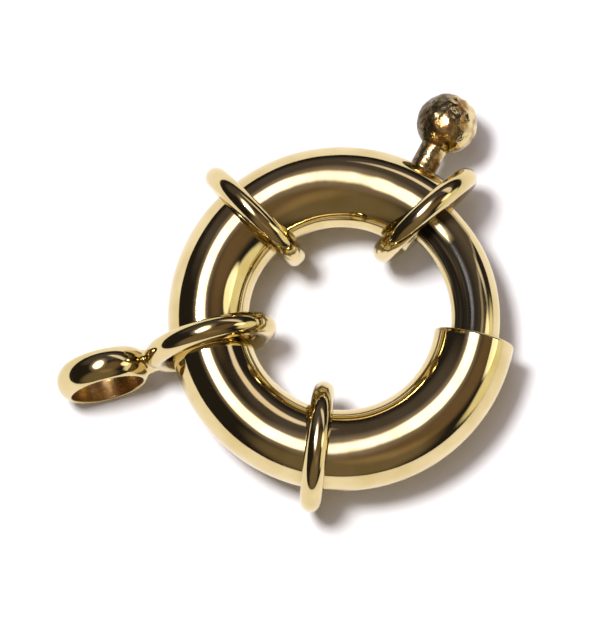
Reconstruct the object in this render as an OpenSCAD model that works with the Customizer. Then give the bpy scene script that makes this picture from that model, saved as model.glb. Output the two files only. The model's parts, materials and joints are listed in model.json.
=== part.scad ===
// Spring ring clasp: a split tube ring whose gate is closed by a sprung curved
// tongue, with three wire collars and an end link for the chain.
// Millimetres. The origin is the ring's centre and +Z is the ring's axis. The clasp
// lies flat: its collars and the eye of its end link stand on one level.

/* [Ring] */
// Distance from the ring's centre to the middle of the tube
ring_r = 5.46; // [5.34:0.02:5.8]
// Outer radius of the tube
tube_r = 1.66; // [1.6:0.01:1.68]
// Radius of the tube's bore, in which the tongue slides
bore_r = 1.06; // [1.04:0.01:1.1]
// Direction of the tube's mouth beside the trigger, in degrees
mouth_deg = 47; // [45:0.5:48]
// Direction of the tube's far mouth, which takes the tongue's tip
far_mouth_deg = -8.5; // [-12:0.5:-6]
// How far the far mouth is cut off square to the tube, in degrees
far_mouth_slant = -5; // [-8:1:0]

/* [Tongue and trigger] */
// Radius of the curved tongue
tongue_r = 1; // [0.95:0.01:1.02]
// How far the tip reaches into the far mouth, in degrees
tip_deg = 6; // [4:1:9]
// Direction of the trigger when the gate is closed
trigger_deg = 62; // [61:1:65]
// How far the trigger and the tongue turn to open the gate, in degrees
open_deg = 35; // [25:1:38]
// Length of the tongue behind the trigger, in degrees
heel_deg = 13; // [9:1:18]
// Radius of the trigger's stem
stem_r = 0.55; // [0.45:0.01:0.6]
// Radius of the trigger's ball
ball_r = 1.25; // [1.1:0.05:1.3]
// Distance from the ring's centre to the ball's centre
ball_at_r = 9.2; // [9:0.05:9.5]

/* [Collars] */
// Radius of the collars' round wire
collar_wire_r = 0.46; // [0.42:0.01:0.48]
// Clear gap between the tube and a collar set square on it
collar_gap = 0.12; // [0.12:0.01:0.16]

/* [End link] */
// Radius of the loop's round wire
link_wire_r = 0.48; // [0.44:0.01:0.5]
// Clear gap between the tube and the link's loop
loop_gap = 0.16; // [0.16:0.01:0.21]
// Direction of the loop's place on the tube, in degrees
link_deg = 190.5; // [185:0.5:200]
// How far the link points away from the ring's centre line, in degrees
link_slant = 5; // [0:1:6]
// How far the link leans over sideways, in degrees
link_lean = 3; // [0:1:4]
// Outer radius of the eye, a short ring with a domed outside
eye_out_r = 1.96; // [1.92:0.02:2]
// Radius of the dome across the eye's width
eye_dome_r = 0.76; // [0.7:0.02:0.8]
// Radius of the eye's straight bore
eye_bore_r = 1.5; // [1.44:0.02:1.54]
// How far the eye is turned out of the loop's plane, in degrees
eye_twist = 3; // [0:1:8]
// How deep the eye and the loop are sunk into each other at the solder
solder_lap = 0.14; // [0.14:0.01:0.16]
// Radius of the bead of solder between them
solder_r = 0.5; // [0.49:0.01:0.51]

/* [Hidden] */
$fn = 96;

// How each collar sits on the tube: its direction, how far it stands off square
// to the tube, how far it leans over, and how far it has slipped outwards
DIRECTION = 0;
SLANT = 1;
LEAN = 2;
SLIP = 3;
mouth_seat = [51.5, -10, 4, 0.02];
left_seat = [130, 5, -6, 0.06];
lower_seat = [259.2, 4, 0, -0.07];

// A wire's middle, and its outer reach from the tube's middle
collar_r = tube_r + collar_gap + collar_wire_r;
collar_reach = collar_r + collar_wire_r;
loop_r = tube_r + loop_gap + link_wire_r;
loop_reach = loop_r + link_wire_r;

// The loop is lifted until it stands on the collars' level
loop_lift = loop_reach - collar_reach;

// The eye drops until it lies on that level too
eye_r = eye_out_r - eye_dome_r;
eye_reach = eye_r * cos(link_lean + eye_twist) + eye_dome_r;
eye_at = loop_reach + eye_out_r - solder_lap;
eye_drop = asin((loop_reach - eye_reach) / eye_at);

// Slot in the tube's outer wall, in which the trigger's stem travels. Its ends are
// drilled a little wider than the slot.
slot_gap = 0.06;
slot_r = stem_r + slot_gap;
slot_end_r = slot_r + 0.02;
slot_from = ring_r + tube_r / 2;
slot_depth = tube_r;

// The tongue's tip is turned down to a blunt nose
nose_h = 0.25;
nose_r = 0.72;

// The stem's pin in the tongue, and the face on which its shoulder stands
pin_r = 0.3;
pin_gap = 0.02;
pin_from = ring_r - 0.35;
shoulder_at = ring_r + tongue_r + pin_gap;

// Length of tube that is cut away at the slanted mouth, in degrees
mouth_spare_deg = 6;

// Colours of the plated brass
gold = "#d9b25c";
pale_gold = "#e3c27a";

// A stretch of round rod along the ring, from one direction to another
module ring_rod(r, from, to) {
    rotate([0, 0, from])
        rotate_extrude(angle = to - from)
            translate([ring_r, 0]) circle(r = r);
}

// Puts a part at a direction on the tube's middle, with +X outwards and +Y along the tube
module on_tube(deg) {
    rotate([0, 0, deg]) translate([ring_r, 0, 0]) children();
}

// Puts a part on a spoke of the ring, with +Z outwards
module on_spoke(deg, at_r) {
    rotate([0, 0, deg]) translate([at_r, 0, 0]) rotate([0, 90, 0]) children();
}

// A wire ring in the XZ plane
module wire_ring(r, wire_r) {
    rotate([90, 0, 0]) rotate_extrude() translate([r, 0]) circle(r = wire_r, $fn = 48);
}

// The slot and the drilled holes that end it, through the outer wall only
module trigger_slot() {
    rotate([0, 0, trigger_deg])
        rotate_extrude(angle = open_deg)
            translate([slot_from, -slot_r]) square([slot_depth, 2 * slot_r]);
    for (deg = [trigger_deg, trigger_deg + open_deg])
        on_spoke(deg, slot_from) cylinder(r = slot_end_r, h = slot_depth);
}

// Takes off the tube beyond its slanted far mouth
module mouth_cut() {
    on_tube(far_mouth_deg) rotate([0, 0, far_mouth_slant])
        translate([-2 * tube_r, 0, -2 * tube_r]) cube([4 * tube_r, tube_r, 4 * tube_r]);
}

module tube_ring() {
    far_end = 360 + far_mouth_deg + mouth_spare_deg;
    color(gold) difference() {
        ring_rod(tube_r, mouth_deg, far_end);
        ring_rod(bore_r, mouth_deg - 1, far_end + 1);
        trigger_slot();
        mouth_cut();
    }
}

// A collar on its seat on the tube
module collar(seat) {
    on_tube(seat[DIRECTION]) translate([seat[SLIP], 0, 0])
        rotate([seat[LEAN], 0, seat[SLANT]]) wire_ring(collar_r, collar_wire_r);
}

module mouth_collar() {
    color(gold) collar(mouth_seat);
}

module left_collar() {
    color(gold) collar(left_seat);
}

module lower_collar() {
    color(gold) collar(lower_seat);
}

module tongue() {
    tip = far_mouth_deg - tip_deg;
    color(pale_gold) difference() {
        union() {
            ring_rod(tongue_r, tip, trigger_deg + heel_deg);
            on_tube(tip) rotate([90, 0, 0]) cylinder(r1 = tongue_r, r2 = nose_r, h = nose_h);
        }
        on_spoke(trigger_deg, pin_from - pin_gap) cylinder(r = pin_r + pin_gap, h = 2 * tongue_r);
    }
}

module trigger() {
    color(gold) {
        on_spoke(trigger_deg, pin_from) cylinder(r = pin_r, h = ball_at_r - pin_from);
        on_spoke(trigger_deg, shoulder_at) cylinder(r = stem_r, h = ball_at_r - shoulder_at);
        on_spoke(trigger_deg, ball_at_r) sphere(r = ball_r);
    }
}

// Puts a part in the end link's own frame: the loop's middle, with +X towards the eye
module on_link() {
    on_tube(link_deg) translate([0, 0, loop_lift])
        rotate([0, 0, link_slant]) rotate([0, eye_drop, 0]) rotate([link_lean, 0, 0]) children();
}

// The loop round the tube and the smaller eye beside it, soldered into one piece
module end_link() {
    color(gold) on_link() difference() {
        union() {
            wire_ring(loop_r, link_wire_r);
            translate([eye_at, 0, 0]) rotate([eye_twist, 0, 0]) wire_ring(eye_r, eye_dome_r);
            translate([loop_reach - solder_lap / 2, 0, 0]) sphere(r = solder_r, $fn = 48);
        }
        translate([eye_at, 0, 0]) rotate([eye_twist + 90, 0, 0])
            cylinder(r = eye_bore_r, h = 2 * eye_dome_r, center = true);
    }
}

tube_ring();
mouth_collar();
left_collar();
lower_collar();
tongue();
trigger();
end_link();
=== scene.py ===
import json
import math

import bmesh
import bpy
import numpy as np
from mathutils import Matrix, Vector
from mathutils.bvhtree import BVHTree


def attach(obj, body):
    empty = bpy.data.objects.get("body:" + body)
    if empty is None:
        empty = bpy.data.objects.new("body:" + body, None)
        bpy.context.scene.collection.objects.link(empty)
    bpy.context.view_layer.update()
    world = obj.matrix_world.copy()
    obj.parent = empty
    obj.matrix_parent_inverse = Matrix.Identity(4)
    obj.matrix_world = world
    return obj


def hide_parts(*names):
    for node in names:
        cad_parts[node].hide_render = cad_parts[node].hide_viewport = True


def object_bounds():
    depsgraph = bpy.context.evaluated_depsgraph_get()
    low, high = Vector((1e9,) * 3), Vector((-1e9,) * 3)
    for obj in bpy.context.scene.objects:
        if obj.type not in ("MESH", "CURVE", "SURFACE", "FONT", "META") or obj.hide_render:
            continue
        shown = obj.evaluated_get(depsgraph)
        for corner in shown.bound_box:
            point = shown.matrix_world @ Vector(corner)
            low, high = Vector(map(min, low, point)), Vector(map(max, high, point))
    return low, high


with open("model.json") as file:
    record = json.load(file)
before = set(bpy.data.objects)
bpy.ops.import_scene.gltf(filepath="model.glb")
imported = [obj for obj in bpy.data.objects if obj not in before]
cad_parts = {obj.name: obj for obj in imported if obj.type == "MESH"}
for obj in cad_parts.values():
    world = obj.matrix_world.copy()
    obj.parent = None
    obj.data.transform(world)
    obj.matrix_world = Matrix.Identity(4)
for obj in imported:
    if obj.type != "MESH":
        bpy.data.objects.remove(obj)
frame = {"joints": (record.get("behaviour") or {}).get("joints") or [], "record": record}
cad_low, cad_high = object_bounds()

# The shapes below are drawn in millimetres and turned into metres as each mesh is made
MM = 0.001

# Ring and gate, as in the frame
RING_R = 5.46
TUBE_R = 1.66
BORE_R = 1.06
MOUTH_DEG = 47.0
FAR_MOUTH_DEG = 351.5
FAR_MOUTH_SLANT = -5.0
TONGUE_R = 1.0
TONGUE_TIP_DEG = -14.5
TONGUE_HEEL_DEG = 75.0
TRIGGER_DEG = 62.0
OPEN_DEG = 35.0
STEM_R = 0.55
SLOT_HALF = 0.61
BALL_R = 1.25
BALL_AT_R = 9.2
# Dents of the roughly cast ball: how deep they are, how many waves make them, the turns of
# the slowest and the quickest wave in radians over the ball's radius, and the seed
BALL_DENT = 0.06
DENT_WAVES = 7
DENT_TURNS = (10.0, 20.0)
DENT_SEED = 11

# Collars and end link, as in the frame
COLLAR_R = 2.24
COLLAR_WIRE_R = 0.46
LOOP_R = 2.3
LINK_WIRE_R = 0.48
EYE_R = 1.2
EYE_DOME_R = 0.76
EYE_BORE_R = 1.5
SOLDER_R = 0.5
SOLDER_LAP = 0.14
# direction, slant, lean and outward slip of each collar's seat on the tube
COLLAR_SEATS = {
    "mouth_collar": (51.5, -10.0, 4.0, 0.02),
    "left_collar": (130.0, 5.0, -6.0, 0.06),
    "lower_collar": (259.2, 4.0, 0.0, -0.07),
}

# A bent tube is no longer quite round: its highest line lies this far outside its middle
CREST_SHIFT = 0.17

# Rounding of the cut edges
MOUTH_EDGE = 0.1
BORE_EDGE = 0.04
SLOT_EDGE = 0.06

# Steps round the tube and along it
SECTION_STEPS = 96
DEG_PER_STEP = 1.25
# Steps round a wire, and round the ring that it is bent into
WIRE_STEPS = 40
WIRE_RING_STEPS = 160
# Points over a mouth's and the slot's rounded edges, outside and at the bore
MOUTH_EDGE_POINTS = (7, 5)
SLOT_EDGE_POINTS = (6, 4)
# Points across the eye's dome and across its bore
EYE_POINTS = (25, 15)
# Points round the trigger, along the hollow at the ball's neck and along the ball
TRIGGER_STEPS = 128
NECK_POINTS = 8
BALL_POINTS = 100


def turn(axis, deg):
    """A 3 x 3 rotation about X, Y or Z."""
    return np.array(Matrix.Rotation(math.radians(deg), 3, axis))


class Skin:
    """Points and faces of one closed skin, in millimetres, built from closed loops of points."""

    def __init__(self):
        self.points = []
        self.faces = []

    def loop(self, points):
        first = len(self.points)
        self.points.extend(points)
        return list(range(first, len(self.points)))

    def join(self, a, b, skip=()):
        for k in range(len(a)):
            if k not in skip:
                n = (k + 1) % len(a)
                self.faces.append((a[k], a[n], b[n], b[k]))

    def join_all(self, loops):
        for a, b in zip(loops, loops[1:]):
            self.join(a, b)

    def cap(self, loop):
        middle = np.mean([self.points[i] for i in loop], axis=0)
        tip = self.loop([middle])[0]
        for k, i in enumerate(loop):
            self.faces.append((i, loop[(k + 1) % len(loop)], tip))

    def make(self, name):
        mesh = bpy.data.meshes.new(name)
        mesh.from_pydata([Vector(p) * MM for p in self.points], [], self.faces)
        bm = bmesh.new()
        bm.from_mesh(mesh)
        loose = [v for v in bm.verts if not v.link_faces]
        bmesh.ops.delete(bm, geom=loose, context="VERTS")
        bmesh.ops.recalc_face_normals(bm, faces=bm.faces)
        bm.to_mesh(mesh)
        bm.free()
        mesh.shade_smooth()
        piece = bpy.data.objects.new(name, mesh)
        bpy.context.scene.collection.objects.link(piece)
        return piece


# Point attributes that follow the lay of each piece's polishing marks: slow coordinates
# with the marks, and fast ones across them, in millimetres
LAY = "lay"
LAY_ACROSS = "lay_across"
# Point attributes from 0 to 1: how sheltered a spot is by its neighbours, which lays a painted
# shade there, and where else a painted shade is laid on
SHELTER = "shelter"
PAINTED_SHADE_PATCH = "painted_shade_patch"


def mesh_points(piece):
    return np.array([v.co for v in piece.data.vertices]) / MM


def mark(piece, name, values):
    attribute = piece.data.attributes.new(name, "FLOAT", "POINT")
    attribute.data.foreach_set("value", values)


def mark_lay(piece, lay, across):
    attribute = piece.data.attributes.new(LAY, "FLOAT_VECTOR", "POINT")
    attribute.data.foreach_set("vector", lay.ravel())
    mark(piece, LAY_ACROSS, across)


def lay_round(points, r):
    """Marks that run round a ring whose axis is Y: lay and across for points about its middle."""
    angle = np.arctan2(points[:, 2], points[:, 0])
    out = np.hypot(points[:, 0], points[:, 2]) - r
    return np.column_stack((r * np.cos(angle), r * np.sin(angle), out)), points[:, 1]


def mark_lay_on_ring(piece):
    """Marks that run with the ring, whose axis is Z."""
    mark_lay(piece, *lay_round(mesh_points(piece)[:, [0, 2, 1]], RING_R))


def ring_point(deg, phi, r, along=0.0):
    """A point at an angle round the tube's section, a distance along the ring past a direction."""
    bent = CREST_SHIFT * max(0.0, (r - BORE_R) / (TUBE_R - BORE_R))
    out = RING_R + r * math.cos(phi) + bent * math.sin(phi) ** 2
    a = math.radians(deg) + along / out
    return np.array((out * math.cos(a), out * math.sin(a), r * math.sin(phi)))


def section_angles(count=SECTION_STEPS):
    return [2 * math.pi * k / count for k in range(count)]


def spaced(start, end, step):
    return list(np.linspace(start, end, max(2, round(abs(end - start) / step) + 1)))


# The loops of points turn gradually to the far mouth's slant, over this stretch
SLANT_FADE_DEG = 14.0


def far_slant(deg, phi, r):
    """How far the tube is cut back or left long at a point near its slanted far mouth."""
    part = min(1.0, max(0.0, 1 - (FAR_MOUTH_DEG - deg) / SLANT_FADE_DEG))
    return part * part * r * math.cos(phi) * math.tan(math.radians(FAR_MOUTH_SLANT))


def tube_loop(skin, deg, r, along=0.0):
    return skin.loop([
        ring_point(deg, phi, r, along + far_slant(deg, phi, r)) for phi in section_angles()
    ])


def rounded_lip(skin, deg, side):
    """Loops from the tube's outside over its rounded mouth into the bore; side is +1 or -1."""
    loops = []
    for a in np.linspace(0, math.pi / 2, MOUTH_EDGE_POINTS[0]):
        back = MOUTH_EDGE * (1 - math.sin(a))
        loops.append(tube_loop(skin, deg, TUBE_R - MOUTH_EDGE * (1 - math.cos(a)), -side * back))
    for a in np.linspace(math.pi / 2, 0, MOUTH_EDGE_POINTS[1]):
        back = BORE_EDGE * (1 - math.sin(a))
        loops.append(tube_loop(skin, deg, BORE_R + BORE_EDGE * (1 - math.cos(a)), -side * back))
    return loops


# The slot's patch on the tube: how far it reaches past the slot, and its steps
PATCH_MARGIN_DEG = 9.0
PATCH_STEPS_UP = 16
PATCH_STEPS_ALONG = 40
PATCH_LOOPS = 7


def slot_edge(half, r):
    """The slot's outline as directions and section angles on a surface of section radius r."""
    edge = []
    ends = (TRIGGER_DEG, TRIGGER_DEG + OPEN_DEG)

    def add(deg, x, z):
        phi = math.asin(z / r)
        out = RING_R + r * math.cos(phi)
        edge.append((deg + math.degrees(math.atan2(x, out)), phi))

    for deg in np.linspace(ends[0], ends[1], PATCH_STEPS_ALONG + 1):
        add(deg, 0, -half)
    for k in range(1, PATCH_STEPS_UP):
        a = -math.pi / 2 + math.pi * k / PATCH_STEPS_UP
        add(ends[1], half * math.cos(a), half * math.sin(a))
    for deg in np.linspace(ends[1], ends[0], PATCH_STEPS_ALONG + 1):
        add(deg, 0, half)
    for k in range(1, PATCH_STEPS_UP):
        a = math.pi / 2 + math.pi * k / PATCH_STEPS_UP
        add(ends[0], half * math.cos(a), half * math.sin(a))
    return edge


def slot_loop(skin, half, r):
    return skin.loop([ring_point(deg, phi, r) for deg, phi in slot_edge(half, r)])


def patch_border(loops, first):
    """The loop of points round the slot's patch, in the order of slot_edge."""
    low = -PATCH_STEPS_UP // 2
    high = PATCH_STEPS_UP // 2
    last = first + PATCH_STEPS_ALONG
    border = [loops[i][low] for i in range(first, last + 1)]
    border += [loops[last][j] for j in range(low + 1, high)]
    border += [loops[i][high] for i in range(last, first - 1, -1)]
    border += [loops[first][j] for j in range(high - 1, low, -1)]
    return border


def slotted_skin(skin, from_deg, to_deg, r, half):
    """A stretch of tube surface with the slot's outline cut in it, and the loop at the slot."""
    patch_from = TRIGGER_DEG - PATCH_MARGIN_DEG
    patch_to = TRIGGER_DEG + OPEN_DEG + PATCH_MARGIN_DEG
    before = spaced(from_deg, patch_from, DEG_PER_STEP)
    within = list(np.linspace(patch_from, patch_to, PATCH_STEPS_ALONG + 1))
    after = spaced(patch_to, to_deg, DEG_PER_STEP)
    stations = before + within[1:] + after[1:]
    first = len(before) - 1
    loops = [tube_loop(skin, deg, r) for deg in stations]
    reach = PATCH_STEPS_UP // 2
    hole = set(range(reach)) | set(range(SECTION_STEPS - reach, SECTION_STEPS))
    for i, (a, b) in enumerate(zip(loops, loops[1:])):
        inside = first <= i < first + PATCH_STEPS_ALONG
        skin.join(a, b, skip=hole if inside else ())
    border = patch_border(loops, first)
    step = 2 * math.pi / SECTION_STEPS
    corners = [(deg, -reach * step) for deg in within]
    corners += [(patch_to, j * step) for j in range(1 - reach, reach)]
    corners += [(deg, reach * step) for deg in reversed(within)]
    corners += [(patch_from, j * step) for j in range(reach - 1, -reach, -1)]
    edge = slot_edge(half, r)
    ring = border
    for n in range(1, PATCH_LOOPS + 1):
        t = n / PATCH_LOOPS
        blend = [
            ring_point(c[0] + t * (e[0] - c[0]), c[1] + t * (e[1] - c[1]), r)
            for c, e in zip(corners, edge)
        ]
        inner = skin.loop(blend)
        skin.join(ring, inner)
        ring = inner
    return loops, ring


def make_tube_ring():
    """The split hollow tube, with rounded mouths and the trigger's slot in its outer wall."""
    skin = Skin()
    edge_deg = math.degrees(MOUTH_EDGE / RING_R)
    bore_deg = math.degrees(BORE_EDGE / RING_R)
    outside, outer_slot = slotted_skin(
        skin, MOUTH_DEG + edge_deg, FAR_MOUTH_DEG - edge_deg, TUBE_R, SLOT_HALF + SLOT_EDGE)
    inside, bore_slot = slotted_skin(
        skin, MOUTH_DEG + bore_deg, FAR_MOUTH_DEG - bore_deg, BORE_R, SLOT_HALF + BORE_EDGE)
    skin.join_all([outside[0]] + rounded_lip(skin, MOUTH_DEG, -1) + [inside[0]])
    skin.join_all([outside[-1]] + rounded_lip(skin, FAR_MOUTH_DEG, 1) + [inside[-1]])
    wall = [outer_slot]
    for a in np.linspace(0, math.pi / 2, SLOT_EDGE_POINTS[0])[1:]:
        half = SLOT_HALF + SLOT_EDGE * (1 - math.sin(a))
        wall.append(slot_loop(skin, half, TUBE_R - SLOT_EDGE * (1 - math.cos(a))))
    wall.append(slot_loop(skin, SLOT_HALF, (TUBE_R + BORE_R) / 2))
    for a in np.linspace(math.pi / 2, 0, SLOT_EDGE_POINTS[1])[:-1]:
        half = SLOT_HALF + BORE_EDGE * (1 - math.sin(a))
        wall.append(slot_loop(skin, half, BORE_R + BORE_EDGE * (1 - math.cos(a))))
    wall.append(bore_slot)
    skin.join_all(wall)
    piece = skin.make("ring_tube")
    mark_lay_on_ring(piece)
    return piece


def wire_section(r, wire_r):
    """Round wire bent to a radius, as distances out from the ring's axis and along it."""
    return [(r + wire_r * math.cos(b), wire_r * math.sin(b)) for b in section_angles(WIRE_STEPS)]


def eye_section():
    """The eye's section: domed outside and straight along its bore."""
    reach = math.acos((EYE_BORE_R - EYE_R) / EYE_DOME_R)
    half = EYE_DOME_R * math.sin(reach)
    dome = [
        (EYE_R + EYE_DOME_R * math.cos(a), EYE_DOME_R * math.sin(a))
        for a in np.linspace(-reach, reach, EYE_POINTS[0])
    ]
    return dome + [(EYE_BORE_R, y) for y in np.linspace(half, -half, EYE_POINTS[1])[1:-1]]


def swept_ring(skin, section, place):
    """A section swept round the Y axis, put in place by a function."""
    loops = []
    for a in section_angles(WIRE_RING_STEPS):
        spoke = np.array((math.cos(a), 0, math.sin(a)))
        loops.append(skin.loop([place(u * spoke + np.array((0, v, 0))) for u, v in section]))
    skin.join_all(loops + loops[:1])


def make_collar(node):
    direction, slant, lean, slip = COLLAR_SEATS[node]
    axes = turn("Z", direction + slant) @ turn("X", lean)
    middle = turn("Z", direction) @ np.array((RING_R + slip, 0, 0))
    skin = Skin()
    swept_ring(skin, wire_section(COLLAR_R, COLLAR_WIRE_R), lambda p: axes @ p + middle)
    piece = skin.make(node + "_wire")
    mark_lay(piece, *lay_round((mesh_points(piece) - middle) @ axes, COLLAR_R))
    return piece


def make_tongue():
    """The curved rod, with a blunt rounded nose and a lightly broken heel."""
    skin = Skin()
    nose_l = 0.25
    nose_flat_r = 0.6
    heel_edge = 0.08
    loops = []
    for a in np.linspace(0, math.pi / 2, 9)[::-1]:
        r = nose_flat_r + (TONGUE_R - nose_flat_r) * math.cos(a)
        loops.append(skin.loop([
            ring_point(TONGUE_TIP_DEG, phi, r, -nose_l * math.sin(a)) for phi in section_angles()
        ]))
    for deg in spaced(TONGUE_TIP_DEG, TONGUE_HEEL_DEG, DEG_PER_STEP)[1:]:
        loops.append(skin.loop([ring_point(deg, phi, TONGUE_R) for phi in section_angles()]))
    loops.append(skin.loop([
        ring_point(TONGUE_HEEL_DEG, phi, TONGUE_R - heel_edge) for phi in section_angles()
    ]))
    skin.join_all(loops)
    skin.cap(loops[0])
    skin.cap(loops[-1])
    piece = skin.make("sliding_tongue")
    mark_lay_on_ring(piece)
    return piece


def ball_dents(outward):
    """Depth of the cast ball's shallow dents, from 0 to 1, for outward directions on it."""
    total = np.zeros(len(outward))
    chance = np.random.default_rng(DENT_SEED)
    for _ in range(DENT_WAVES):
        wave = chance.normal(size=3)
        wave = wave / np.linalg.norm(wave) * chance.uniform(*DENT_TURNS)
        total += np.sin(outward @ wave + chance.uniform(0, 2 * math.pi))
    return np.clip(0.5 + total / DENT_WAVES, 0, 1)


def make_trigger():
    """The stem and its ball, turned as one, with a small hollow where they meet."""
    neck_r = 0.14
    # the stem's foot is hidden in the tongue
    stem_from = RING_R + 0.7
    # centre of the hollow's arc, which touches both the stem and the ball
    centre_u = STEM_R + neck_r
    drop = math.sqrt((BALL_R + neck_r) ** 2 - centre_u ** 2)
    centre_x = BALL_AT_R - drop
    meet = math.atan2(centre_u, drop)
    profile = [(stem_from, STEM_R), ((stem_from + centre_x) / 2, STEM_R)]
    for a in np.linspace(0, math.pi / 2 - meet, NECK_POINTS):
        profile.append((centre_x + neck_r * math.sin(a), centre_u - neck_r * math.cos(a)))
    for a in np.linspace(meet, math.pi, BALL_POINTS)[1:-1]:
        profile.append((BALL_AT_R - BALL_R * math.cos(a), BALL_R * math.sin(a)))
    skin = Skin()
    spoke = turn("Z", TRIGGER_DEG)
    loops = [
        skin.loop([spoke @ np.array((x, u * math.cos(b), u * math.sin(b)))
                   for b in section_angles(TRIGGER_STEPS)])
        for x, u in profile
    ]
    skin.join_all(loops)
    skin.cap(loops[0])
    skin.cap(loops[-1])
    middle = spoke @ np.array((BALL_AT_R, 0, 0))
    points = np.array(skin.points)
    outward = points - middle
    distance = np.linalg.norm(outward, axis=1)
    outward = outward / distance[:, None]
    # the dents fade out towards the stem, and end this share of the ball's radius past its
    # middle; the stem has none
    dents_end = 0.5
    dents_fade = 0.7
    toward_tip = outward @ middle / BALL_AT_R
    on_ball = distance < BALL_R + 1e-6
    clear = np.clip((toward_tip + dents_end) / dents_fade, 0, 1) * on_ball
    skin.points = list(points - (BALL_DENT * ball_dents(outward) * clear)[:, None] * outward)
    piece = skin.make("trigger_ball")
    # turned work: its marks run round the spoke
    turned = mesh_points(piece) @ spoke
    mark_lay(piece, turned[:, [1, 2, 0]], np.zeros(len(turned)))
    # a painted shade darkens this side of the trigger, ball and stem, from just past the crest
    shade_from = -0.05
    shade_fade = 0.4
    side = turned[:, 1] / BALL_R
    mark(piece, PAINTED_SHADE_PATCH, np.clip((side - shade_from) / shade_fade, 0, 1))
    return piece


def torus_distance(points, r, wire_r):
    flat = np.hypot(points[:, 0], points[:, 2]) - r
    return np.hypot(flat, points[:, 1]) - wire_r


def soft_union(a, b, fillet):
    h = np.clip(0.5 + 0.5 * (b - a) / fillet, 0, 1)
    return b + (a - b) * h - fillet * h * (1 - h)


def soft_cut(a, cutter, edge):
    """Takes the cutter away from a, and breaks the edges that leaves."""
    return -soft_union(-a, cutter, edge)


def link_frame():
    """The end link's place: its loop's middle and axes, and its eye's middle and twist."""
    joint = next(j for j in frame["joints"] if j["name"] == "link_swing")
    mount = next(m for m in frame["record"]["mounts"] if m["name"] == "chain_eye")
    middle = np.array(joint["pos_m"]) / MM
    across = -np.array(joint["axis"])
    across = across / np.linalg.norm(across)
    to_eye = np.array(mount["pos_m"]) / MM - middle
    eye_at = np.linalg.norm(to_eye)
    to_eye = to_eye / eye_at
    up = np.cross(to_eye, across)
    axes = np.array((to_eye, across, up)).T
    eye_across = axes.T @ -np.array(mount["axis"])
    twist = math.degrees(math.atan2(eye_across[2], eye_across[1]))
    return middle, axes, eye_at, twist


def make_end_link():
    """The loop and the eye as one soldered piece: tori drawn together by a fillet of solder."""
    middle, axes, eye_at, twist = link_frame()
    untwist = turn("X", -twist)
    solder_at = LOOP_R + LINK_WIRE_R - SOLDER_LAP / 2
    fillet = 0.16
    bore_edge = 0.14
    voxel = 0.045
    settling_steps = 6
    slope_step = 1e-4

    def distance(p):
        eye_p = (p - np.array((eye_at, 0, 0))) @ untwist.T
        loop_d = torus_distance(p, LOOP_R, LINK_WIRE_R)
        eye_d = torus_distance(eye_p, EYE_R, EYE_DOME_R)
        solder_d = np.linalg.norm(p - np.array((solder_at, 0, 0)), axis=1) - SOLDER_R
        bore_d = np.hypot(eye_p[:, 0], eye_p[:, 2]) - EYE_BORE_R
        soldered = soft_union(soft_union(loop_d, eye_d, fillet), solder_d, fillet)
        return soft_cut(soldered, bore_d, bore_edge)

    def slope(p):
        return np.array([
            (distance(p + e) - distance(p - e)) / (2 * slope_step)
            for e in slope_step * np.eye(3)
        ]).T

    rough = Skin()
    swept_ring(rough, wire_section(LOOP_R, LINK_WIRE_R), lambda p: p)
    swept_ring(rough, eye_section(), lambda p: turn("X", twist) @ p + np.array((eye_at, 0, 0)))
    piece = rough.make("link_rough")
    remesh = piece.modifiers.new("merge", "REMESH")
    remesh.mode = "VOXEL"
    remesh.voxel_size = voxel * MM
    merged = bpy.data.meshes.new_from_object(
        piece.evaluated_get(bpy.context.evaluated_depsgraph_get()))
    points = np.array([v.co for v in merged.vertices]) / MM
    # the merged points are only near the true surface, and a few steps bring them onto it
    for _ in range(settling_steps):
        d = distance(points)
        s = slope(points)
        points = points - (d / (s * s).sum(axis=1))[:, None] * s
    skin = Skin()
    skin.points = [axes @ p + middle for p in points]
    skin.faces = [tuple(f.vertices) for f in merged.polygons]
    bpy.data.objects.remove(piece)
    bpy.data.meshes.remove(merged)
    piece = skin.make("soldered_link")
    local = (mesh_points(piece) - middle) @ axes
    normals = slope(local) @ axes.T
    piece.data.normals_split_custom_set_from_vertices(
        normals / np.linalg.norm(normals, axis=1)[:, None])
    at_eye = (local - np.array((eye_at, 0, 0))) @ untwist.T
    to_loop = torus_distance(local, LOOP_R, LINK_WIRE_R)
    on_loop = to_loop < torus_distance(at_eye, EYE_R, EYE_DOME_R)
    loop_lay, loop_across = lay_round(local, LOOP_R)
    eye_lay, eye_across = lay_round(at_eye, EYE_R)
    lay = np.where(on_loop[:, None], loop_lay, eye_lay)
    mark_lay(piece, lay, np.where(on_loop, loop_across, eye_across))
    # a painted shade darkens the eye's bore, up to its broken edges
    shade_r = EYE_BORE_R + 0.06
    shade_fade = 0.05
    inside = shade_r - np.hypot(at_eye[:, 0], at_eye[:, 2])
    mark(piece, PAINTED_SHADE_PATCH, np.clip(inside / shade_fade, 0, 1))
    return piece


def new_group(name, inputs, outputs):
    """A shader group with named sockets; returns it and its input and output nodes."""
    group = bpy.data.node_groups.new(name, "ShaderNodeTree")
    for label, kind, value in inputs:
        socket = group.interface.new_socket(label, in_out="INPUT", socket_type=kind)
        socket.default_value = value
    for label, kind in outputs:
        group.interface.new_socket(label, in_out="OUTPUT", socket_type=kind)
    return group, group.nodes.new("NodeGroupInput"), group.nodes.new("NodeGroupOutput")


def feed(tree, socket, value):
    """Links another socket to this one, or sets a fixed value on it."""
    if isinstance(value, bpy.types.NodeSocket):
        tree.links.new(value, socket)
    else:
        socket.default_value = value


def math_node(tree, operation, *values):
    """A math node fed by sockets or numbers; returns its output."""
    node = tree.nodes.new("ShaderNodeMath")
    node.operation = operation
    for socket, value in zip(node.inputs, values):
        feed(tree, socket, value)
    return node.outputs[0]


RANGE_SOCKETS = ("From Min", "From Max", "To Min", "To Max")


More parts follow.
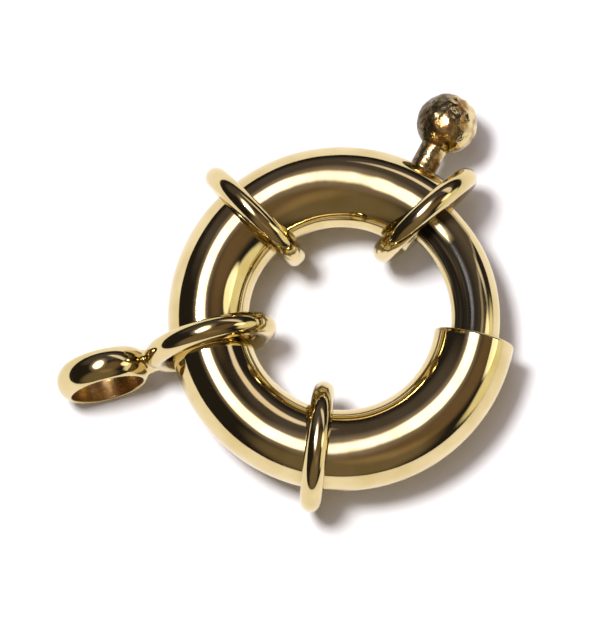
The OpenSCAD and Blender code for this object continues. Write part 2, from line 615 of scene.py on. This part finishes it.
def ranged(tree, value, low, high, to_low, to_high, kind="LINEAR"):
    """Maps a value from one range to another, clamped."""
    node = tree.nodes.new("ShaderNodeMapRange")
    node.interpolation_type = kind
    tree.links.new(value, node.inputs["Value"])
    for label, number in zip(RANGE_SOCKETS, (low, high, to_low, to_high)):
        node.inputs[label].default_value = number
    return node.outputs["Result"]


def blended(tree, factor, a, b):
    """Two colours, from sockets or fixed, mixed by a factor from 0 (a) to 1 (b)."""
    node = tree.nodes.new("ShaderNodeMix")
    node.data_type = "RGBA"
    tree.links.new(factor, node.inputs["Factor"])
    feed(tree, node.inputs["A"], a)
    feed(tree, node.inputs["B"], b)
    return node.outputs["Result"]


def object_coords(tree, turned=(0, 0, 0), stretch=(1, 1, 1)):
    """Coordinates on the piece in millimetres, turned and stretched."""
    coords = tree.nodes.new("ShaderNodeTexCoord")
    mapping = tree.nodes.new("ShaderNodeMapping")
    mapping.inputs["Rotation"].default_value = turned
    mapping.inputs["Scale"].default_value = [s / MM for s in stretch]
    tree.links.new(coords.outputs["Object"], mapping.inputs["Vector"])
    return mapping.outputs["Vector"]


def noise_node(tree, vector, scale, detail=2.0):
    node = tree.nodes.new("ShaderNodeTexNoise")
    node.inputs["Scale"].default_value = scale
    node.inputs["Detail"].default_value = detail
    tree.links.new(vector, node.inputs["Vector"])
    return node.outputs["Fac"]


def hair_scratches_group():
    """Fine straight scratches left by polishing and wear, as a mask from 0 to 1."""
    group, given, result = new_group(
        "Hair scratches", [("Amount", "NodeSocketFloat", 1.0)], [("Mask", "NodeSocketFloat")])
    directions = ((0.3, 0.2, 0.5), (0.9, 0.4, 1.9), (0.1, 1.2, 2.8), (1.5, 0.7, 0.1))
    long_and_thin = (0.35, 16.0, 16.0)
    total = None
    for turned in directions:
        streaks = noise_node(group, object_coords(group, turned, long_and_thin), 1.0, 1.0)
        lines = ranged(group, streaks, 0.66, 0.72, 0.0, 1.0)
        total = lines if total is None else math_node(group, "MAXIMUM", total, lines)
    patches = ranged(group, noise_node(group, object_coords(group), 0.9), 0.42, 0.62, 0.15, 1.0)
    mask = math_node(group, "MULTIPLY", total, patches)
    mask = math_node(group, "MULTIPLY", mask, given.outputs["Amount"])
    group.links.new(mask, result.inputs["Mask"])
    return group


def attribute_node(tree, name, output="Fac"):
    node = tree.nodes.new("ShaderNodeAttribute")
    node.attribute_name = name
    return node.outputs[output]


def polishing_lines_group():
    """Fine lines that run with the metal's lay: a mask from 0 to 1, a height from -0.5 to 0.5."""
    group, given, result = new_group(
        "Polishing lines",
        [("Lay", "NodeSocketVector", (0, 0, 0)), ("Across", "NodeSocketFloat", 0.0)],
        [("Mask", "NodeSocketFloat"), ("Height", "NodeSocketFloat")])

    def lines(slow, fast, detail):
        mapping = group.nodes.new("ShaderNodeMapping")
        mapping.inputs["Scale"].default_value = (slow, slow, fast)
        group.links.new(given.outputs["Lay"], mapping.inputs["Vector"])
        noise = group.nodes.new("ShaderNodeTexNoise")
        noise.noise_dimensions = "4D"
        noise.inputs["Scale"].default_value = 1.0
        noise.inputs["Detail"].default_value = detail
        group.links.new(mapping.outputs["Vector"], noise.inputs["Vector"])
        across = math_node(group, "MULTIPLY", given.outputs["Across"], fast)
        group.links.new(across, noise.inputs["W"])
        return noise.outputs["Fac"]

    fine = ranged(group, lines(0.3, 11.0, 2.0), 0.45, 0.7, 0.0, 1.0)
    broad = ranged(group, lines(0.25, 2.2, 1.0), 0.35, 0.65, 0.3, 1.0)
    group.links.new(math_node(group, "MULTIPLY", fine, broad), result.inputs["Mask"])
    swell = math_node(group, "SUBTRACT", lines(0.22, 1.3, 1.0), 0.5)
    group.links.new(swell, result.inputs["Height"])
    return group


def polish_ripple_group():
    """The slight unevenness of a hand-polished surface, as a height in millimetres."""
    group, given, result = new_group(
        "Polish ripple",
        [("Broad", "NodeSocketFloat", 0.004), ("Fine", "NodeSocketFloat", 0.0006)],
        [("Height", "NodeSocketFloat")])
    vector = object_coords(group)
    broad, fine = (
        math_node(group, "MULTIPLY", noise_node(group, vector, scale, detail), given.outputs[label])
        for label, scale, detail in (("Broad", 0.55, 1.0), ("Fine", 3.5, 2.0))
    )
    group.links.new(math_node(group, "ADD", broad, fine), result.inputs["Height"])
    return group


def gold_tone_group():
    """The plating's colour: two golds in soft drifts, brown stains in spots, and a painted shade,
    brown, where it is sheltered. Dullness is 1 where a stain or the painted shade covers the metal."""
    group, given, result = new_group(
        "Gold tone",
        [("Pale gold", "NodeSocketColor", (0.71, 0.59, 0.31, 1)),
         ("Deep gold", "NodeSocketColor", (0.63, 0.505, 0.23, 1)),
         ("Film", "NodeSocketColor", (0.28, 0.17, 0.05, 1)),
         ("Film amount", "NodeSocketFloat", 0.7),
         ("Stain", "NodeSocketColor", (0.26, 0.12, 0.03, 1)),
         ("Stain amount", "NodeSocketFloat", 0.0),
         ("Shelter", "NodeSocketFloat", 0.0)],
        [("Color", "NodeSocketColor"), ("Dullness", "NodeSocketFloat")])
    vector = object_coords(group)
    drift = ranged(group, noise_node(group, vector, 0.8, 3.0), 0.35, 0.65, 0.0, 1.0)
    tone = blended(group, drift, given.outputs["Pale gold"], given.outputs["Deep gold"])
    spots = ranged(group, noise_node(group, vector, 1.6, 3.0), 0.42, 0.6, 0.0, 1.0)
    spots = math_node(group, "MULTIPLY", spots, given.outputs["Stain amount"])
    stained = blended(group, spots, tone, given.outputs["Stain"])
    broken = ranged(group, noise_node(group, vector, 6.0, 3.0), 0.3, 0.7, 0.6, 1.0)
    # painted shade: brown where the spot is sheltered, broken up by noise
    dull = math_node(group, "MULTIPLY", given.outputs["Shelter"], broken)
    dull = math_node(group, "MULTIPLY", dull, given.outputs["Film amount"])
    with_painted_shade = blended(group, dull, stained, given.outputs["Film"])
    group.links.new(with_painted_shade, result.inputs["Color"])
    group.links.new(math_node(group, "MAXIMUM", dull, spots), result.inputs["Dullness"])
    return group


# How much rougher the metal is on a scratch and under a stain or the painted shade, how deep a
# scratch is, and how much the surface swells along the polishing lines, in millimetres
SCRATCH_DULL = 0.2
SHADE_AND_STAIN_DULL = 0.3
SCRATCH_DEPTH = 0.0004
LINE_SWELL = 0.004


class Finishes:
    """The shared node groups, and the metals made from them."""

    def __init__(self):
        self.scratches = hair_scratches_group()
        self.lines = polishing_lines_group()
        self.ripple = polish_ripple_group()
        self.tone = gold_tone_group()

    def placed(self, tree, group, **values):
        node = tree.nodes.new("ShaderNodeGroup")
        node.node_tree = group
        for label, value in values.items():
            node.inputs[label.replace("_", " ")].default_value = value
        return node

    def gold(self, name, rough, scratched, broad, fine, lined=0.04, painted_shade=0.7, stain=0.0,
             painted_shade_colour=(0.28, 0.17, 0.05)):
        """Polished gold plate. Takes its roughness where it is clean, how far it is scratched,
        the heights of its broad and fine unevenness in millimetres, how much rougher its
        polishing lines are, and how far the painted shade and stains cover it."""
        material = bpy.data.materials.new(name)
        material.use_nodes = True
        tree = material.node_tree
        shader = tree.nodes["Principled BSDF"]
        shader.inputs["Metallic"].default_value = 1.0
        tone = self.placed(
            tree, self.tone, Film_amount=painted_shade, Stain_amount=stain, Film=(*painted_shade_colour, 1))
        # a painted shade goes where another piece is close and on the marked painted-shade patches
        sheltered, kept = (attribute_node(tree, label) for label in (SHELTER, PAINTED_SHADE_PATCH))
        tree.links.new(math_node(tree, "MAXIMUM", sheltered, kept), tone.inputs["Shelter"])
        tree.links.new(tone.outputs["Color"], shader.inputs["Base Color"])
        scratches = self.placed(tree, self.scratches, Amount=scratched)
        lines = self.placed(tree, self.lines)
        tree.links.new(attribute_node(tree, LAY, "Vector"), lines.inputs["Lay"])
        tree.links.new(attribute_node(tree, LAY_ACROSS), lines.inputs["Across"])
        wear_and_shade_tint = ranged(tree, scratches.outputs["Mask"], 0.0, 1.0, rough, rough + SCRATCH_DULL)
        lined = math_node(tree, "MULTIPLY", lines.outputs["Mask"], lined)
        dull = math_node(tree, "MULTIPLY", tone.outputs["Dullness"], SHADE_AND_STAIN_DULL)
        total = math_node(tree, "ADD", math_node(tree, "ADD", wear_and_shade_tint, lined), dull)
        tree.links.new(total, shader.inputs["Roughness"])
        ripple = self.placed(tree, self.ripple, Broad=broad, Fine=fine)
        depth = math_node(tree, "MULTIPLY", scratches.outputs["Mask"], -SCRATCH_DEPTH)
        swelling = math_node(tree, "MULTIPLY", lines.outputs["Height"], LINE_SWELL)
        height = math_node(tree, "ADD", ripple.outputs["Height"], depth)
        height = math_node(tree, "ADD", height, swelling)
        bump = tree.nodes.new("ShaderNodeBump")
        bump.inputs["Strength"].default_value = 1.0
        bump.inputs["Distance"].default_value = MM
        tree.links.new(height, bump.inputs["Height"])
        tree.links.new(bump.outputs["Normal"], shader.inputs["Normal"])
        return material

    def paint_shade_on_rod(self, material, colour, shade_tint_colour, half, clean_to):
        """Adds a near-black painted shade, for the rod's dark reflection, along the crest of the
        curved rod, out to half its width on either side. It turns brown towards the outside, gets
        narrower there from the trigger's side to the far mouth, and leaves a short streak clean on
        the trigger's side."""
        tree = material.node_tree
        shader = tree.nodes["Principled BSDF"]
        clean = shader.inputs["Base Color"].links[0].from_socket
        lines = next(n for n in tree.nodes if n.type == "GROUP" and n.node_tree == self.lines)
        lay = tree.nodes.new("ShaderNodeSeparateXYZ")
        tree.links.new(attribute_node(tree, LAY, "Vector"), lay.inputs[0])
        across_ring = lay.outputs["X"]
        out_from_middle = lay.outputs["Z"]
        # how far the painted shade's middle lies inside the rod's, how much its edges follow the
        # polishing lines, and where across the ring it gets narrower and by how much
        inward = 0.1
        raggedness = 0.12
        narrow_from, narrow_to, narrow_by = 4.6, 5.4, 0.22
        ragged = math_node(tree, "MULTIPLY", lines.outputs["Mask"], raggedness)
        narrowed = ranged(tree, across_ring, narrow_from, narrow_to, 0.0, narrow_by)
        from_film = math_node(tree, "ADD", out_from_middle, inward)
        from_film = math_node(tree, "ABSOLUTE", math_node(tree, "ADD", from_film, narrowed))
        reach = math_node(tree, "ADD", math_node(tree, "ADD", from_film, narrowed), ragged)
        crest = ranged(tree, reach, half - 0.04, half + 0.08, 1.0, 0.0)
        streak = ranged(tree, math_node(tree, "ADD", from_film, ragged), 0.1, 0.24, 1.0, 0.0)
        streak_end = ranged(tree, across_ring, clean_to - 0.2, clean_to + 0.3, 1.0, 0.0)
        streak = math_node(tree, "MULTIPLY", streak, streak_end)
        mask = math_node(tree, "SUBTRACT", crest, streak)
        outside = ranged(tree, out_from_middle, -0.05, 0.35, 0.0, 1.0)
        # the painted shade turns brown along the polishing lines and towards the outside
        wear_and_shade_tint = math_node(tree, "MAXIMUM", lines.outputs["Mask"], outside)
        painted_shade = blended(tree, wear_and_shade_tint, (*colour, 1), (*shade_tint_colour, 1))
        tree.links.new(blended(tree, mask, clean, painted_shade), shader.inputs["Base Color"])
        tree.links.new(ranged(tree, mask, 0.0, 1.0, 1.0, 0.0), shader.inputs["Metallic"])
        shader.inputs["Specular IOR Level"].default_value = 0.025
        return material


def wear(piece, material):
    piece.data.materials.clear()
    piece.data.materials.append(material)


# How far off another piece still shelters a spot
SHELTER_REACH = 0.4


def shelter_pieces(pieces):
    """Marks each point by how near the closest other piece is."""
    reach = SHELTER_REACH * MM
    trees = {}
    for piece in pieces:
        bm = bmesh.new()
        bm.from_mesh(piece.data)
        trees[piece.name] = BVHTree.FromBMesh(bm)
        bm.free()
    for piece in pieces:
        values = np.zeros(len(piece.data.vertices))
        for other in pieces:
            if other is piece:
                continue
            tree = trees[other.name]
            for i, v in enumerate(piece.data.vertices):
                place, _, _, distance = tree.find_nearest(v.co, reach)
                if place is not None:
                    closeness = 1 - distance / reach
                    values[i] = max(values[i], closeness * closeness)
        mark(piece, SHELTER, values)


def dress():
    """Makes every piece, puts it in its CAD node's place and gives it its metal."""
    finishes = Finishes()
    plate = finishes.gold(
        "Polished gold plate", rough=0.05, scratched=0.3, broad=0.018, fine=0.0005)
    # the wire's brown painted shade lies in the eye's bore and where another piece is close
    wire = finishes.gold(
        "Polished gold wire", rough=0.07, scratched=0.35, broad=0.006, fine=0.0008,
        painted_shade=0.95, painted_shade_colour=(0.36, 0.19, 0.045))
    # the ball's near-black painted shade darkens its one side and the spots near other pieces
    ball = finishes.gold(
        "Cast gold ball", rough=0.08, scratched=0.3, broad=0.03, fine=0.05,
        painted_shade=1.0, stain=0.85, painted_shade_colour=(0.035, 0.024, 0.01))
    # the curved rod gets a painted shade for the dark reflection on its crest
    shaded_rod = finishes.gold(
        "Gold rod with painted shade", rough=0.1, scratched=0.4, broad=0.004, fine=0.0006, lined=0.12)
    finishes.paint_shade_on_rod(
        shaded_rod, colour=(0.011, 0.009, 0.006), shade_tint_colour=(0.062, 0.043, 0.022),
        half=0.78, clean_to=4.25)
    made = [
        (make_tube_ring(), "tube_ring", "ring", plate, "polished_gold"),
        (make_tongue(), "tongue", "gate", shaded_rod, "tongue_gold"),
        (make_trigger(), "trigger", "gate", ball, "polished_gold"),
        (make_end_link(), "end_link", "link", wire, "polished_gold"),
    ]
    for node in COLLAR_SEATS:
        made.append((make_collar(node), node, "ring", wire, "polished_gold"))
    shelter_pieces([row[0] for row in made])
    for piece, node, body, material, slot in made:
        wear(piece, material)
        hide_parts(node)
        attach(piece, body)


# Floor level, on which the collars and the eye stand, and half the floor's side, in metres
FLOOR_Z = cad_low.z
FLOOR_HALF = 0.9


def make_floor():
    """A plain pale sheet under the clasp, with a barely visible tooth."""
    mesh = bpy.data.meshes.new("floor")
    corners = ((-1, -1), (1, -1), (1, 1), (-1, 1))
    points = [(x * FLOOR_HALF, y * FLOOR_HALF, FLOOR_Z) for x, y in corners]
    mesh.from_pydata(points, [], [(0, 1, 2, 3)])
    floor = bpy.data.objects.new("floor", mesh)
    bpy.context.scene.collection.objects.link(floor)
    material = bpy.data.materials.new("Pale matt board")
    material.use_nodes = True
    tree = material.node_tree
    shader = tree.nodes["Principled BSDF"]
    shader.inputs["Roughness"].default_value = 0.9
    shader.inputs["Specular IOR Level"].default_value = 0.2
    tooth = noise_node(tree, object_coords(tree), 2.5, 4.0)
    ramp = tree.nodes.new("ShaderNodeValToRGB")
    ramp.color_ramp.elements[0].color = (0.8, 0.79, 0.8, 1)
    ramp.color_ramp.elements[1].color = (0.84, 0.83, 0.84, 1)
    tree.links.new(tooth, ramp.inputs["Fac"])
    tree.links.new(ramp.outputs["Color"], shader.inputs["Base Color"])
    mesh.materials.append(material)


def direction(azimuth, elevation):
    """A unit vector; azimuth 0 is +X and 90 is +Y, seen from above."""
    a, e = math.radians(azimuth), math.radians(elevation)
    return Vector((math.cos(a) * math.cos(e), math.sin(a) * math.cos(e), math.sin(e)))


def facing_axes(azimuth, elevation, spin):
    """Across, up and away axes of something that faces the clasp, turned by its spin."""
    turned = direction(azimuth, elevation).to_track_quat("Z", "Y").to_matrix()
    return turned @ Matrix.Rotation(math.radians(spin), 3, "Z")


def dot_node(tree, vector, fixed):
    node = tree.nodes.new("ShaderNodeVectorMath")
    node.operation = "DOT_PRODUCT"
    tree.links.new(vector, node.inputs[0])
    node.inputs[1].default_value = fixed
    return node.outputs["Value"]


def sky_patch(tree, toward, place, half_deg, fade):
    """A soft oval of the sky: 1 inside its half angles, 0 past them by the fade's share."""
    axes = facing_axes(*place)
    ahead = dot_node(tree, toward, axes.col[2])
    squares = []
    for axis, half in zip((axes.col[0], axes.col[1]), half_deg):
        sideways = dot_node(tree, toward, axis / math.tan(math.radians(half)))
        share = math_node(tree, "DIVIDE", sideways, ahead)
        squares.append(math_node(tree, "MULTIPLY", share, share))
    reach = math_node(tree, "SQRT", math_node(tree, "ADD", *squares))
    soft = ranged(tree, reach, 1.0, 1.0 + fade, 1.0, 0.0, "SMOOTHSTEP")
    return math_node(tree, "MULTIPLY", soft, math_node(tree, "GREATER_THAN", ahead, 0.0))


# The key light is a small bright lamp behind a larger diffuser. Each has its azimuth,
# elevation and spin, and its half angles, in degrees. The lamp's distance is in metres.
LAMP_PLACE = (157.0, 73.0, 0.0)
LAMP_HALF_DEG = (6.5, 6.5)
LAMP_DISTANCE = 0.6
LAMP_RADIANCE = 84.0
DIFFUSER_PLACE = (140.0, 76.0, 40.0)
DIFFUSER_HALF_DEG = (18.5, 10.0)

# Soft patches of the studio's sky: place, half angles, fade, strength and colour
SKY_PATCHES = (
    # the diffuser, and its dim edge
    (DIFFUSER_PLACE, DIFFUSER_HALF_DEG, 0.5, 2.6, (0.96, 0.92, 1.1)),
    (DIFFUSER_PLACE, DIFFUSER_HALF_DEG, 1.7, 0.3, (1.0, 0.84, 0.9)),
    # the pale wall on the right, warm near the floor, and its dimmer run toward the back
    ((0.0, 33.0, 0.0), (9.0, 8.0), 0.5, 1.7, (1.0, 0.97, 0.9)),
    ((350.0, 13.0, 0.0), (19.0, 13.0), 0.6, 1.05, (1.0, 0.94, 0.7)),
    ((50.0, 35.0, 0.0), (20.0, 4.5), 0.9, 1.05, (1.0, 0.9, 0.96)),
    # the room in front, above on the right, and behind
    ((271.0, 32.0, 0.0), (23.0, 22.0), 1.3, 0.18, (1.0, 0.76, 0.46)),
    ((332.0, 63.0, 0.0), (17.0, 11.0), 1.8, 0.155, (1.0, 0.65, 0.38)),
    ((95.0, 40.0, 0.0), (34.0, 18.0), 1.0, 0.07, (1.0, 0.84, 0.96)),
)
ROOM_LEVEL = 0.022
ROOM_COLOUR = (1.0, 0.86, 0.98)
BACKDROP_COLOUR = (0.86, 0.86, 0.86)


def make_sky():
    """The studio round the clasp: mostly dim, with soft pale patches, and plain pale to the eye."""
    world = bpy.data.worlds.new("studio")
    bpy.context.scene.world = world
    world.use_nodes = True
    tree = world.node_tree
    tree.nodes.clear()
    toward = tree.nodes.new("ShaderNodeTexCoord").outputs["Generated"]

    def glow(strength, colour):
        light = tree.nodes.new("ShaderNodeBackground")
        light.inputs["Color"].default_value = (*colour, 1)
        feed(tree, light.inputs["Strength"], strength)
        return light.outputs[0]

    total = glow(ROOM_LEVEL, ROOM_COLOUR)
    for place, half_deg, fade, strength, colour in SKY_PATCHES:
        patch = sky_patch(tree, toward, place, half_deg, fade)
        both = tree.nodes.new("ShaderNodeAddShader")
        tree.links.new(total, both.inputs[0])
        tree.links.new(glow(math_node(tree, "MULTIPLY", patch, strength), colour), both.inputs[1])
        total = both.outputs[0]
    path = tree.nodes.new("ShaderNodeLightPath")
    mix = tree.nodes.new("ShaderNodeMixShader")
    tree.links.new(path.outputs["Is Camera Ray"], mix.inputs[0])
    tree.links.new(total, mix.inputs[1])
    tree.links.new(glow(1.0, BACKDROP_COLOUR), mix.inputs[2])
    output = tree.nodes.new("ShaderNodeOutputWorld")
    tree.links.new(mix.outputs[0], output.inputs["Surface"])


def make_key_light():
    """A round lamp; its power follows from how bright its face is."""
    wide, high = (2 * LAMP_DISTANCE * math.tan(math.radians(half)) for half in LAMP_HALF_DEG)
    lamp = bpy.data.lights.new("key", "AREA")
    lamp.shape = "ELLIPSE"
    lamp.size, lamp.size_y = wide, high
    lamp.energy = LAMP_RADIANCE * math.pi * math.pi * wide * high / 4
    key = bpy.data.objects.new("key", lamp)
    key.location = direction(*LAMP_PLACE[:2]) * LAMP_DISTANCE
    key.rotation_mode = "QUATERNION"
    key.rotation_quaternion = facing_axes(*LAMP_PLACE).to_quaternion()
    key.visible_camera = False
    bpy.context.scene.collection.objects.link(key)


def light_the_clasp():
    make_sky()
    make_key_light()
    view = bpy.context.scene.view_settings
    view.view_transform = "Standard"
    view.look = "None"


# The camera looks from the front, high over the clasp. Its distance and the width of the
# frame are in metres, and the sensor's in millimetres.
CAMERA_ELEVATION = 80.0
CAMERA_DISTANCE = 0.32
FRAME_WIDTH = 0.0245
SENSOR = 36.0
# The frame's size in pixels, and the sensor's width lies along its longer side
FRAME_PX = (600, 622)
# How far beside the clasp's middle the camera aims, in metres
AIM_BESIDE = Vector((0.0006, -0.0004, 0))


def make_camera():
    data = bpy.data.cameras.new("camera")
    data.sensor_width = SENSOR
    frame_height = FRAME_WIDTH * FRAME_PX[1] / FRAME_PX[0]
    data.lens = SENSOR * CAMERA_DISTANCE / frame_height
    camera = bpy.data.objects.new("camera", data)
    toward = direction(-90, CAMERA_ELEVATION)
    aim = (cad_low + cad_high) / 2 + AIM_BESIDE
    camera.location = aim + toward * CAMERA_DISTANCE
    camera.rotation_mode = "QUATERNION"
    camera.rotation_quaternion = toward.to_track_quat("Z", "Y")
    data.clip_start = CAMERA_DISTANCE / 10
    data.clip_end = CAMERA_DISTANCE * 10
    bpy.context.scene.collection.objects.link(camera)
    bpy.context.scene.camera = camera


make_camera()
dress()
make_floor()
light_the_clasp()
